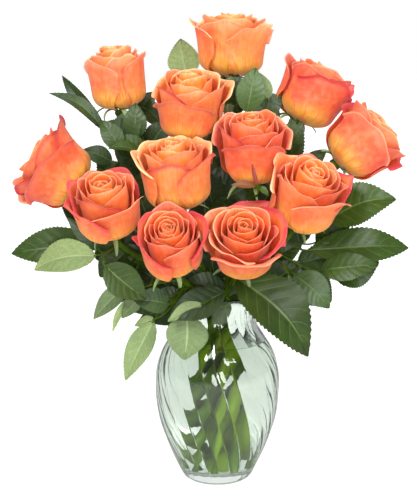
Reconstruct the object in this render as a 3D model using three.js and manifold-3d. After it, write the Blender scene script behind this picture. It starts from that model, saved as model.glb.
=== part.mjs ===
// A dozen roses with their leaves, standing in a twisted-flute glass vase of water.
// Millimetres, +Z up. The foot of the vase rests on z = 0 and its axis is the Z axis.
import * as THREE from "three";
import Module from "manifold-3d";

const wasm = await Module();
wasm.setup();
const { Manifold, Mesh } = wasm;

// Driving dimensions of the vase
const VASE_HEIGHT = 185;
const BELLY_DIAMETER = 120;
const FOOT_DIAMETER = 56;
const WALL = 3;
const GLASS_FLOOR = 10;
const FLOOR_CORNER = 5;
const FLUTE_COUNT = 24;
const FLUTE_DEPTH = 1.4;
const FLUTE_TWIST = -60;
const WATER_DEPTH = 126;

// Driving dimensions of the flowers
const BOUQUET_WIDTH = 400;
const STEM_DIAMETER = 6;
const LEAF_THICKNESS = 1;
const STALK_RISE = 14;
const CLEARANCE = 0.3;

// Sizes that follow from them
const SPREAD = BOUQUET_WIDTH / 400;
const HEAD_DIAMETER = 0.19 * BOUQUET_WIDTH;
const STEM_RADIUS = STEM_DIAMETER / 2;
const PETIOLE_RADIUS = 0.27 * STEM_RADIUS;
const STEM_FOOT_HEIGHT = GLASS_FLOOR + 3;
const WATER_LEVEL = GLASS_FLOOR + WATER_DEPTH;

// The stems lean past each other like the rods of a hyperboloid and are closest at the waist
const OUTER_STEMS = 9;
const INNER_STEMS = 3;
const WAIST_HEIGHT = 0.86 * VASE_HEIGHT;
const STEM_PITCH = STEM_DIAMETER + 1.3;
const WAIST_TURN = 10;
const OUTER_WAIST = STEM_PITCH / 2 / Math.sin(Math.PI / OUTER_STEMS);
const INNER_WAIST = STEM_PITCH / 2 / Math.sin(Math.PI / INNER_STEMS);
const OUTER_FOOT = 0.47 * FOOT_DIAMETER;
const INNER_FOOT = 0.1 * FOOT_DIAMETER;

// Outline of the vase: radius as a share of the belly radius, height as a share of the height
const VASE_OUTLINE = [
  [0.53, 0.013],
  [0.59, 0.043],
  [0.67, 0.095],
  [0.8, 0.19],
  [0.91, 0.29],
  [0.98, 0.4],
  [1.0, 0.5],
  [0.985, 0.6],
  [0.9, 0.69],
  [0.75, 0.775],
  [0.615, 0.85],
  [0.62, 0.92],
  [0.75, 1.0],
];

// Outline of a rose head: radius and height as shares of its own, and how far the petals show
const HEAD_OUTLINE = [
  [0.1, 0.0, 0],
  [0.52, 0.06, 0.2],
  [0.83, 0.22, 0.5],
  [0.92, 0.5, 0.7],
  [1.0, 0.82, 1],
  [0.72, 0.76, 0.6],
  [0.52, 0.96, 0.6],
  [0.24, 0.88, 0],
];
const HEAD_LOBES = 5;
const HEAD_SEGMENTS = 20;
const LOBE_REACH = 0.07;
const LOBE_RISE = 0.04;
const LOBE_SHIFT = 40;
const HEAD_TURN = 67;

// Outline of the swollen cup under the petals: radius and height in stem radii
const HIP_OUTLINE = [
  [0, -4.2],
  [1.1, -4],
  [1.8, -2.4],
  [2.1, -1.2],
  [2.2, 0],
  [0, 0],
];
const HIP_SIDES = 7;

// How the stems and the leaf stalks bend: length of each end handle as a share of the way between
const STEM_HANDLES = [0.35, 0.3];
const STALK_HANDLES = [0.3, 0.3];
const STEM_POINTS = 7;
const STRAIGHT_SHARES = [0, 0.45, 0.86];
const STEM_INTO_HIP = 2;
const STALK_INTO_BLADE = 3;
const DROP_WEIGHT = 0.45;

// Facets round and along each tube
const STEM_FACETS = [6, 12];
const STALK_FACETS = [4, 3];
const SOAK_FACETS = [8, 1];

// Shape of a leaf blade, as shares of its half width and its length
const BLADE_STATIONS = 4;
const BLADE_FOLD = 0.22;
const BLADE_ARCH = 0.1;
const BLADE_ENDS = 0.07;
const BLADE_SHOULDER = 0.85;
const BLADE_FULLNESS = 0.8;

// Facets of the glass
const FLUTE_SEGMENTS = 4;
const FLUTE_FADE = 8;
const INSIDE_SEGMENTS = 40;
const RING_SPACE = 2;

// Each rose: foot of the head in plan and above the mouth of the vase, the way it leans (azimuth,
// angle from upright), width and height as shares of the usual width, place of its stem at the waist
const ROSES = {
  a: { foot: [-93, 20, 174], lean: [180, 7], width: 0.84, height: 0.76, ring: OUTER_STEMS, place: 2 },
  b: { foot: [11, 45, 204], lean: [0, 3], width: 1.0, height: 0.76, ring: OUTER_STEMS, place: 1 },
  c: { foot: [-26, 8, 148], lean: [270, 12], width: 0.97, height: 0.8, ring: INNER_STEMS, place: 1 },
  d: { foot: [75, 25, 163], lean: [0, 30], width: 1.0, height: 0.74, ring: OUTER_STEMS, place: 0 },
  e: { foot: [112, -12, 126], lean: [0, 50], width: 1.0, height: 0.74, ring: OUTER_STEMS, place: 8 },
  f: { foot: [32, -23, 111], lean: [265, 17], width: 0.95, height: 0.82, ring: INNER_STEMS, place: 0 },
  g: { foot: [-36, -36, 87], lean: [245, 14], width: 0.97, height: 0.82, ring: INNER_STEMS, place: 2 },
  h: { foot: [-128, -5, 102], lean: [180, 56], width: 1.04, height: 0.74, ring: OUTER_STEMS, place: 3 },
  i: { foot: [-98, -46, 68], lean: [258, 35], width: 0.96, height: 0.8, ring: OUTER_STEMS, place: 4 },
  j: { foot: [-40, -60, 36], lean: [262, 42], width: 0.92, height: 0.8, ring: OUTER_STEMS, place: 5 },
  k: { foot: [22, -53, 38], lean: [272, 44], width: 0.96, height: 0.8, ring: OUTER_STEMS, place: 6 },
  l: { foot: [72, -45, 74], lean: [300, 32], width: 0.96, height: 0.8, ring: OUTER_STEMS, place: 7 },
};

// Each leaf: the stem it grows on, base and tip of the blade in plan and above the mouth of the
// vase, its width, and the way its upper face looks
const FRONT = [0, -1, 0.4];
const BACK = [0, 1, 0.3];
const UP = [0, -0.5, 1];
const REAR = [0, 0.6, 1];
const LEAVES = [
  { stem: "a", base: [-113, 32, 160], tip: [-152, 46, 205], width: 14, face: [-0.7, -0.4, 0.6] },
  { stem: "a", base: [-108, 6, 156], tip: [-158, 4, 193], width: 16, face: [-0.4, -0.5, 0.8] },
  { stem: "a", base: [-92, -6, 138], tip: [-111, -4, 166], width: 21, face: FRONT },
  { stem: "a", base: [-80, 6, 146], tip: [-78, 8, 181], width: 23, face: FRONT },
  { stem: "a", base: [-70, -10, 134], tip: [-102, -20, 142], width: 18, face: UP },
  { stem: "c", base: [-53, 36, 157], tip: [-78, 44, 184], width: 20, face: FRONT },
  { stem: "b", base: [-29, 58, 203], tip: [-36, 64, 240], width: 32, face: BACK },
  { stem: "b", base: [9, 24, 168], tip: [13, 20, 206], width: 17, face: BACK },
  { stem: "b", base: [28, 10, 172], tip: [36, 14, 214], width: 28, face: FRONT },
  { stem: "d", base: [48, 14, 184], tip: [40, 20, 209], width: 17, face: BACK },
  { stem: "d", base: [70, -2, 133], tip: [69, -6, 168], width: 18, face: FRONT },
  { stem: "e", base: [104, -30, 74], tip: [164, -40, 98], width: 44, face: [-0.2, -0.9, 0.7] },
  { stem: "e", base: [88, -20, 44], tip: [185, 0, 46], width: 38, face: [0, -0.9, 0.7] },
  { stem: "l", base: [97, -28, 26], tip: [150, -40, 34], width: 27, face: FRONT },
  { stem: "l", base: [72, -40, 24], tip: [104, -54, -4], width: 32, face: FRONT },
  { stem: "k", base: [18, -60, 24], tip: [86, -74, -44], width: 54, face: [0.3, -1, 0.4] },
  { stem: "k", base: [6, -52, 10], tip: [-46, -62, -12], width: 30, face: FRONT },
  { stem: "j", base: [-29, -60, -10], tip: [-31, -70, -50], width: 40, face: BACK },
  { stem: "j", base: [-60, -51, -18], tip: [-87, -56, -72], width: 25, face: BACK },
  { stem: "j", base: [-46, -50, -2], tip: [-78, -60, 4], width: 24, face: FRONT },
  { stem: "i", base: [-68, -52, 9], tip: [-90, -64, -12], width: 16, face: BACK },
  { stem: "i", base: [-84, -44, 16], tip: [-116, -50, -16], width: 20, face: BACK },
  { stem: "i", base: [-104, -58, 36], tip: [-66, -66, 6], width: 31, face: FRONT },
  { stem: "i", base: [-114, -38, 42], tip: [-171, -50, 33], width: 34, face: BACK },
  { stem: "h", base: [-121, -12, 53], tip: [-197, -14, 41], width: 34, face: FRONT },
  { stem: "h", base: [-112, -30, 46], tip: [-141, -28, 76], width: 15, face: [-0.6, -0.6, 0.5] },
  { stem: "g", base: [-68, -24, 48], tip: [-68, -22, 76], width: 18, face: FRONT },
  { stem: "b", base: [30, 62, 50], tip: [58, 112, 38], width: 36, face: REAR },
  { stem: "b", base: [-8, 64, 36], tip: [-24, 112, 8], width: 36, face: REAR },
  { stem: "a", base: [-60, 50, 64], tip: [-96, 92, 58], width: 34, face: REAR },
  { stem: "d", base: [76, 46, 70], tip: [124, 78, 76], width: 34, face: REAR },
  { stem: "h", base: [-100, 26, 60], tip: [-146, 52, 52], width: 30, face: REAR },
  { stem: "c", base: [-10, 52, 120], tip: [-4, 92, 146], width: 32, face: REAR },
  { stem: "d", base: [44, 56, 116], tip: [58, 96, 130], width: 30, face: REAR },
];

const group = new THREE.Group();
group.name = "roses_in_a_vase";

const radians = THREE.MathUtils.degToRad;
const vector = (values) => new THREE.Vector3(...values);

// A place in the bouquet, from its plan position and its height above the mouth of the vase
function place([x, y, z]) {
  return new THREE.Vector3(x * SPREAD, y * SPREAD, VASE_HEIGHT + z * SPREAD);
}

// A point on a ring round the vase axis
function onRing(radius, degrees, z) {
  const turn = radians(degrees);
  return new THREE.Vector3(radius * Math.cos(turn), radius * Math.sin(turn), z);
}

// A manifold solid as three.js geometry, with a flat shading normal on each face
function geometryOf(solid) {
  const mesh = solid.getMesh();
  const geometry = new THREE.BufferGeometry();
  const positions = new Float32Array(mesh.numVert * 3);
  for (let i = 0; i < mesh.numVert; i++) {
    positions.set(mesh.vertProperties.subarray(i * mesh.numProp, i * mesh.numProp + 3), i * 3);
  }
  geometry.setAttribute("position", new THREE.BufferAttribute(positions, 3));
  geometry.setIndex(new THREE.BufferAttribute(mesh.triVerts, 1));
  const flat = geometry.toNonIndexed();
  flat.computeVertexNormals();
  return flat;
}

// A closed solid from points and triangles
function solidOf(points, faces) {
  const mesh = new Mesh({
    numProp: 3,
    vertProperties: new Float32Array(points.flatMap((p) => [p.x, p.y, p.z])),
    triVerts: new Uint32Array(faces.flat()),
  });
  mesh.merge();
  return new Manifold(mesh);
}

// A closed solid from three.js geometry
function solidOfGeometry(geometry) {
  const flat = geometry.index ? geometry.toNonIndexed() : geometry;
  const positions = flat.getAttribute("position");
  const points = [];
  const faces = [];
  for (let i = 0; i < positions.count; i++) {
    points.push(new THREE.Vector3().fromBufferAttribute(positions, i));
  }
  for (let i = 0; i < positions.count; i += 3) faces.push([i, i + 1, i + 2]);
  return solidOf(points, faces);
}

// A closed solid skinned over rings of points, bottom ring first, each ring anticlockwise from above
function skin(rings) {
  const count = rings[0].length;
  const points = rings.flat();
  const faces = [];
  for (let r = 0; r + 1 < rings.length; r++) {
    for (let s = 0; s < count; s++) {
      const low = r * count + s;
      const lowNext = r * count + ((s + 1) % count);
      faces.push([low, lowNext, lowNext + count], [low, lowNext + count, low + count]);
    }
  }
  addCap(points, faces, rings[0], 0, true);
  addCap(points, faces, rings.at(-1), points.length - 1 - count, false);
  return solidOf(points, faces);
}

// Closes a ring with a fan about its middle
function addCap(points, faces, ring, first, facesDown) {
  const middle = new THREE.Vector3();
  ring.forEach((p) => middle.addScaledVector(p, 1 / ring.length));
  const hub = points.push(middle) - 1;
  ring.forEach((_, s) => {
    const next = (s + 1) % ring.length;
    faces.push(facesDown ? [hub, first + next, first + s] : [hub, first + s, first + next]);
  });
}

// Adds one named piece with a surface of its own
function addPart(name, solid, colour, roughness, metalness, more = {}) {
  const material = new THREE.MeshStandardMaterial({ color: colour, roughness, metalness, ...more });
  material.name = name + "_surface";
  const mesh = new THREE.Mesh(geometryOf(solid), material);
  mesh.name = name;
  group.add(mesh);
}

// Outer radius of the vase at a height
function vaseRadius(z) {
  const level = z / VASE_HEIGHT;
  const after = VASE_OUTLINE.findIndex(([, height]) => height >= level);
  if (after === 0) return (VASE_OUTLINE[0][0] * BELLY_DIAMETER) / 2;
  const [lowRadius, low] = VASE_OUTLINE[after - 1];
  const [highRadius, high] = VASE_OUTLINE[after];
  return (THREE.MathUtils.mapLinear(level, low, high, lowRadius, highRadius) * BELLY_DIAMETER) / 2;
}

// The fluted outside: the flutes fade out at the foot and the lip and twist as they climb
function vaseOutside() {
  const segments = FLUTE_SEGMENTS * FLUTE_COUNT;
  const levels = [0, ...VASE_OUTLINE.map(([, height]) => height * VASE_HEIGHT)];
  const rings = levels.map((z, index) => {
    const radius = index ? vaseRadius(z) : FOOT_DIAMETER / 2;
    const share = z / VASE_HEIGHT;
    const depth = index < 2 ? 0 : FLUTE_DEPTH * Math.min(1, FLUTE_FADE * share * (1 - share));
    return Array.from({ length: segments }, (_, s) => {
      const turn = (s * 360) / segments;
      const flute = (1 - Math.cos(radians(turn * FLUTE_COUNT))) / 2;
      return onRing(radius - depth * flute, turn + FLUTE_TWIST * share, z);
    });
  });
  return skin(rings);
}

// A smooth body of revolution that follows the inside wall of the vase
function insideBody(from, to, gap) {
  const levels = VASE_OUTLINE.map(([, height]) => height * VASE_HEIGHT);
  const corner = from + FLOOR_CORNER;
  const between = levels.filter((z) => z > corner + RING_SPACE && z < to - RING_SPACE);
  const heights = [from, corner, ...between, to];
  const radii = heights.map((z) => vaseRadius(Math.min(z, VASE_HEIGHT)) - WALL - FLUTE_DEPTH - gap);
  const profile = [new THREE.Vector2(0, from)];
  profile.push(new THREE.Vector2(radii[0] - FLOOR_CORNER, from));
  heights.slice(1).forEach((z, i) => profile.push(new THREE.Vector2(radii[i + 1], z)));
  profile.push(new THREE.Vector2(0, to));
  const lathe = new THREE.LatheGeometry(profile, INSIDE_SEGMENTS);
  lathe.rotateX(Math.PI / 2);
  return solidOfGeometry(lathe);
}

// A straight-sided tube along a curve
function tube(curve, radius, [sides, steps]) {
  const outline = new THREE.Shape();
  for (let s = 0; s < sides; s++) {
    const turn = (s * 2 * Math.PI) / sides;
    const method = s ? "lineTo" : "moveTo";
    outline[method](radius * Math.cos(turn), radius * Math.sin(turn));
  }
  outline.closePath();
  const geometry = new THREE.ExtrudeGeometry(outline, { steps, extrudePath: curve });
  return solidOfGeometry(geometry);
}

// The direction that a rose head points
function headAxis({ lean: [azimuth, angle] }) {
  return onRing(Math.sin(radians(angle)), azimuth, Math.cos(radians(angle)));
}

// Lowest point of a stem and the point where it passes the waist of the bunch
function stemBelow({ ring, place: slot }) {
  const [waistRadius, footRadius] =
    ring === OUTER_STEMS ? [OUTER_WAIST, OUTER_FOOT] : [INNER_WAIST, INNER_FOOT];
  const waistTurn = WAIST_TURN + (slot * 360) / ring;
  const lean = THREE.MathUtils.radToDeg(Math.acos(waistRadius / footRadius));
  const waist = onRing(waistRadius, waistTurn, WAIST_HEIGHT);
  const foot = onRing(footRadius, waistTurn - lean, STEM_FOOT_HEIGHT);
  return { foot, waist };
}

// The centre line of a stem: straight in the vase, then curving up to the foot of the head
function stemCurve(rose) {
  const { foot, waist } = stemBelow(rose);
  const top = place(rose.foot).addScaledVector(headAxis(rose), -CLEARANCE - STEM_INTO_HIP);
  const climb = top.distanceTo(waist);
  const rising = waist.clone().sub(foot).normalize();
  const [low, high] = STEM_HANDLES;
  const upper = new THREE.CubicBezierCurve3(
    waist,
    waist.clone().addScaledVector(rising, low * climb),
    top.clone().addScaledVector(headAxis(rose), -high * climb),
    top,
  );
  const lower = STRAIGHT_SHARES.map((share) => foot.clone().lerp(waist, share));
  const points = [...lower, ...upper.getPoints(STEM_POINTS)];
  return new THREE.CatmullRomCurve3(points, false, "centripetal");
}

// Turns a solid built up the Z axis so that it points along the head of a rose
function turnToHead(solid, rose, offset) {
  const turn = new THREE.Quaternion().setFromUnitVectors(new THREE.Vector3(0, 0, 1), headAxis(rose));
  const matrix = new THREE.Matrix4().makeRotationFromQuaternion(turn);
  matrix.setPosition(place(rose.foot).addScaledVector(headAxis(rose), offset));
  return solid.transform(matrix.elements);
}

// The swollen cup under the petals
function hip(rose) {
  const profile = HIP_OUTLINE.map(([r, z]) => new THREE.Vector2(r * STEM_RADIUS, z * STEM_RADIUS));
  const lathe = new THREE.LatheGeometry(profile, HIP_SIDES);
  lathe.rotateX(Math.PI / 2);
  return turnToHead(solidOfGeometry(lathe), rose, -CLEARANCE);
}

// A stem with the cup at its top
function roseStem(rose) {
  return tube(stemCurve(rose), STEM_RADIUS, STEM_FACETS).add(hip(rose));
}

// The head: a cup of lobed outer petals round a tight bud
function roseHead(rose, spin) {
  const radius = (rose.width * HEAD_DIAMETER) / 2;
  const height = rose.height * HEAD_DIAMETER;
  const rings = HEAD_OUTLINE.map(([reach, level, show], index) =>
    Array.from({ length: HEAD_SEGMENTS }, (_, s) => {
      const turn = (s * 360) / HEAD_SEGMENTS;
      const lobe = show * Math.cos(radians(HEAD_LOBES * turn + LOBE_SHIFT * index));
      const out = radius * reach * (1 + LOBE_REACH * (lobe - show));
      return onRing(out, turn + spin, height * (level + LOBE_RISE * lobe));
    }),
  );
  return turnToHead(skin(rings), rose, 0);
}

// The share of a stem's length at which a leaf stalk leaves it: near the leaf and a little below it
function budShare(curve, base) {
  const cost = (share) => {
    const point = curve.getPointAt(share);
    return point.distanceTo(base) + DROP_WEIGHT * Math.abs(point.z - base.z + STALK_RISE);
  };
  const shares = Array.from({ length: 30 }, (_, i) => THREE.MathUtils.lerp(0.5, 0.935, i / 29));
  return shares.reduce((best, share) => (cost(share) < cost(best) ? share : best));
}

// The stalk of a leaf, from just off its stem to inside the blade
function stalk(rose, base, along) {
  const stem = stemCurve(rose);
  const share = budShare(stem, base);
  const from = stem.getPointAt(share);
  const away = base.clone().sub(from);
  const reach = away.length();
  away.projectOnPlane(stem.getTangentAt(share)).normalize();
  const start = from.clone().addScaledVector(away, STEM_RADIUS + CLEARANCE);
  const [low, high] = STALK_HANDLES;
  const curve = new THREE.CubicBezierCurve3(
    start,
    start.clone().addScaledVector(away, low * reach),
    base.clone().addScaledVector(along, -high * reach),
    base.clone().addScaledVector(along, STALK_INTO_BLADE),
  );
  return tube(curve, PETIOLE_RADIUS, STALK_FACETS);
}

// The blade of a leaf: a thin arched shell, folded along its midrib
function blade(base, tip, width, face) {
  const along = tip.clone().sub(base);
  const length = along.length();
  along.normalize();
  const across = new THREE.Vector3().crossVectors(vector(face), along).normalize();
  const upper = new THREE.Vector3().crossVectors(along, across).normalize();
  const rings = Array.from({ length: BLADE_STATIONS + 1 }, (_, i) => {
    const share = i / BLADE_STATIONS;
    const outline = Math.sin(Math.PI * share ** BLADE_SHOULDER) ** BLADE_FULLNESS;
    const half = (width / 2) * Math.max(BLADE_ENDS, outline);
    const arch = BLADE_ARCH * length * Math.sin(Math.PI * share);
    const middle = base.clone().addScaledVector(along, share * length).addScaledVector(upper, arch);
    const fold = BLADE_FOLD * half;
    const point = (side, lift) =>
      middle.clone().addScaledVector(across, side).addScaledVector(upper, lift);
    return [
      point(-half, fold),
      point(-half, fold - LEAF_THICKNESS),
      point(0, -LEAF_THICKNESS),
      point(half, fold - LEAF_THICKNESS),
      point(half, fold),
      point(0, 0),
    ];
  });
  return skin(rings);
}

// A leaf: its blade joined to its stalk
function roseLeaf({ stem, base, tip, width, face }) {
  const from = place(base);
  const to = place(tip);
  const along = to.clone().sub(from).normalize();
  return blade(from, to, width * SPREAD, face).add(stalk(ROSES[stem], from, along));
}

const hollow = insideBody(GLASS_FLOOR, VASE_HEIGHT + 1, 0);
addPart("vase", vaseOutside().subtract(hollow), 0xdfe9e4, 0.05, 0, { transparent: true, opacity: 0.35 });

// Straight tubes round the soaking part of each stem, cut out of the water
const soaking = Object.values(ROSES).map((rose) => {
  const { foot, waist } = stemBelow(rose);
  foot.addScaledVector(waist.clone().sub(foot).normalize(), -CLEARANCE);
  return tube(new THREE.LineCurve3(foot, waist), STEM_RADIUS + 2 * CLEARANCE, SOAK_FACETS);
});
const pool = insideBody(GLASS_FLOOR + CLEARANCE, WATER_LEVEL, CLEARANCE);
const bodies = pool.subtract(Manifold.union(soaking)).decompose();
const water = bodies.reduce((most, body) => (body.volume() > most.volume() ? body : most));
addPart("water", water, 0xe6f2ee, 0.02, 0, { transparent: true, opacity: 0.3 });

Object.entries(ROSES).forEach(([letter, rose], index) => {
  addPart("rose_stem_" + letter, roseStem(rose), 0x5f8a3a, 0.55, 0);
  addPart("rose_head_" + letter, roseHead(rose, HEAD_TURN * index), 0xf07a4a, 0.6, 0);
});

LEAVES.forEach((leaf, index) => {
  const number = String(index + 1).padStart(2, "0");
  addPart("leaf_" + number, roseLeaf(leaf), 0x55733f, 0.5, 0);
});

export default group;
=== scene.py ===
"""A dozen roses with their leaves in a twisted-flute glass vase of water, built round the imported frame."""

import math
import random

import bpy
import numpy as np
from bpy.props import FloatProperty, FloatVectorProperty, IntProperty, PointerProperty
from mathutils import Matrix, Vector


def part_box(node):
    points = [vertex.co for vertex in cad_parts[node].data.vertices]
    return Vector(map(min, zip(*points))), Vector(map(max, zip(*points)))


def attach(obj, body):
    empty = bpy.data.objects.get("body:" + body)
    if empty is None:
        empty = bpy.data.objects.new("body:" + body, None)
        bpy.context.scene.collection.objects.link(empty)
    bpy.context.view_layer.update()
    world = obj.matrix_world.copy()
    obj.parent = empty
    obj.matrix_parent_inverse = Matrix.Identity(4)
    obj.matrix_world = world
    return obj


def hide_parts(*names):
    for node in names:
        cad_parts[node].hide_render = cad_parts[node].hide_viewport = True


bl_info = {
    "name": "Roses in a vase",
    "version": (1, 0, 0),
    "blender": (4, 5, 0),
    "location": "View3D > Sidebar > Bouquet",
    "description": "Builds a bouquet of roses in a fluted glass vase round its frame",
    "category": "Object",
}

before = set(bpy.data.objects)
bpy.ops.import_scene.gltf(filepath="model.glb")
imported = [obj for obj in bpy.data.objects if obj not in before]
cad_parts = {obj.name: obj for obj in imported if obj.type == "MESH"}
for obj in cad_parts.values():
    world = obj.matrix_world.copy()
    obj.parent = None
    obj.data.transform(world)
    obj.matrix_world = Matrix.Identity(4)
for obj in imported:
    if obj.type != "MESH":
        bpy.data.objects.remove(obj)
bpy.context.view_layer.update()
VASE_LOW, VASE_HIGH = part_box("vase")
WATER_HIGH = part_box("water")[1]
MM = 0.001
MOUTH = VASE_HIGH.z
VASE_HEIGHT = VASE_HIGH.z - VASE_LOW.z
BELLY_RADIUS = (VASE_HIGH.x - VASE_LOW.x) / 2
HEAD_DIAMETER = 76 * MM
STEM_RADIUS = 3 * MM
CLEARANCE = 0.3 * MM
LIP = 1.6 * MM
VEIN_SWEEP = 0.22
BOWL_DEPTH = 5 * MM
BOWL_ROUNDNESS = 0.6
BOWL_START, BOWL_END = 0.2, math.pi / 2 - 0.05
THORNS = 7
BELLY_LEVEL = 0.38
GOLDEN_ANGLE = 137.5
FRONT_SIDE = 270

# Where the stems pass each other: the waist of the bunch and its spread on the floor of the vase
OUTER_STEMS = 9
INNER_STEMS = 3
WAIST_HEIGHT = 0.86 * VASE_HEIGHT
STEM_FOOT_HEIGHT = 13 * MM
STEM_PITCH = 2 * STEM_RADIUS + 1.3 * MM
OUTER_LEAN = 66
INNER_LEAN = 40

# Outline of the vase: radius as a share of the belly radius, height as a share of the height
VASE_OUTLINE = [
    (0.467, 0.0),
    (0.53, 0.013),
    (0.59, 0.043),
    (0.67, 0.095),
    (0.8, 0.19),
    (0.91, 0.29),
    (0.98, 0.4),
    (1.0, 0.5),
    (0.985, 0.6),
    (0.9, 0.69),
    (0.75, 0.775),
    (0.615, 0.85),
    (0.62, 0.92),
    (0.75, 1.0),
]

# The camera, its target and its lens, and the lamps: name, place, diameter and power
CAMERA_PLACE = (-0.0086, -1.4, 0.463)
CAMERA_TARGET = (-0.0086, 0, 0.2273)
CAMERA_LENS = 107.04
CAMERA_SENSOR = 36
LAMP_TARGET = (0, 0, 0.25)
LAMPS = [
    ("key", (-0.8, -1.4, 1.6), 0.6, 40),
    ("second", (1.0, -1.3, 1.4), 0.6, 26),
    ("fill", (0.1, -2.2, 0.45), 0.8, 25),
    ("top", (0.1, 0.25, 1.9), 1.0, 7),
]

# How much dimmer the surroundings and the floor look in a reflection
WORLD_DIMMING = 0.5
FLOOR_DIMMING = 0.7

# Each rose: foot of the head in plan and above the mouth of the vase in millimetres, the way it
# leans (azimuth and angle from upright), its width and height as shares of the usual width, and its
# ring and place at the waist of the bunch. Then how far its orange goes to red, how strongly its
# petals are flushed, how far it has opened, how much shorter its outer petals are on its lower and
# on its upper side, how much wider its petals spread, and the sides of it where the rims are crimson
ROSES = {
    "a": dict(
        foot=(-93, 20, 174), lean=(180, 7), width=0.84, height=0.76, ring=OUTER_STEMS, place=2,
        hue=0.3, red=0.35, bloom=0.35, low=0.05, high=0, wide=0, crimson=(),
    ),
    "b": dict(
        foot=(11, 45, 204), lean=(0, 3), width=1.0, height=0.76, ring=OUTER_STEMS, place=1,
        hue=0.05, red=0.2, bloom=0.9, low=0.05, high=0, wide=0.06, crimson=(),
    ),
    "c": dict(
        foot=(-26, 8, 148), lean=(270, 12), width=0.97, height=0.8, ring=INNER_STEMS, place=1,
        hue=0.05, red=0.2, bloom=0.6, low=0.24, high=0, wide=0.05, crimson=(200,),
    ),
    "d": dict(
        foot=(75, 25, 163), lean=(0, 30), width=1.0, height=0.74, ring=OUTER_STEMS, place=0,
        hue=0.75, red=1.0, bloom=0.7, low=0.05, high=0, wide=0.08, crimson=(60, 330),
    ),
    "e": dict(
        foot=(112, -12, 126), lean=(0, 50), width=1.0, height=0.74, ring=OUTER_STEMS, place=8,
        hue=0.6, red=0.8, bloom=0.6, low=0.05, high=0, wide=0.08, crimson=(60, 120),
    ),
    "f": dict(
        foot=(32, -23, 111), lean=(265, 17), width=0.95, height=0.82, ring=INNER_STEMS, place=0,
        hue=0.65, red=0.85, bloom=0.5, low=0.14, high=0.05, wide=0.08, crimson=(210,),
    ),
    "g": dict(
        foot=(-36, -36, 87), lean=(245, 14), width=0.97, height=0.82, ring=INNER_STEMS, place=2,
        hue=0, red=0.15, bloom=0.8, low=0.2, high=0.05, wide=0.02, crimson=(300,),
    ),
    "h": dict(
        foot=(-128, -5, 102), lean=(180, 56), width=1.04, height=0.74, ring=OUTER_STEMS, place=3,
        hue=0.5, red=0.5, bloom=0.9, low=0.1, high=0, wide=0.18, crimson=(350, 215),
    ),
    "i": dict(
        foot=(-98, -46, 68), lean=(258, 35), width=0.96, height=0.76, ring=OUTER_STEMS, place=4,
        hue=0.15, red=0.5, bloom=0.8, low=0.08, high=0.3, wide=0, crimson=(205, 90),
    ),
    "j": dict(
        foot=(-40, -60, 36), lean=(262, 42), width=0.88, height=0.75, ring=OUTER_STEMS, place=5,
        hue=0.6, red=0.4, bloom=0.5, low=0, high=0.06, wide=0, crimson=(190, 40),
    ),
    "k": dict(
        foot=(22, -53, 38), lean=(272, 44), width=0.96, height=0.76, ring=OUTER_STEMS, place=6,
        hue=0.5, red=0.5, bloom=0.9, low=0, high=0.4, wide=0.15, crimson=(335, 60),
    ),
    "l": dict(
        foot=(72, -45, 74), lean=(300, 32), width=0.96, height=0.8, ring=OUTER_STEMS, place=7,
        hue=0.2, red=0.35, bloom=0.7, low=0.05, high=0.1, wide=0.1, crimson=(10, 60),
    ),
}

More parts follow.
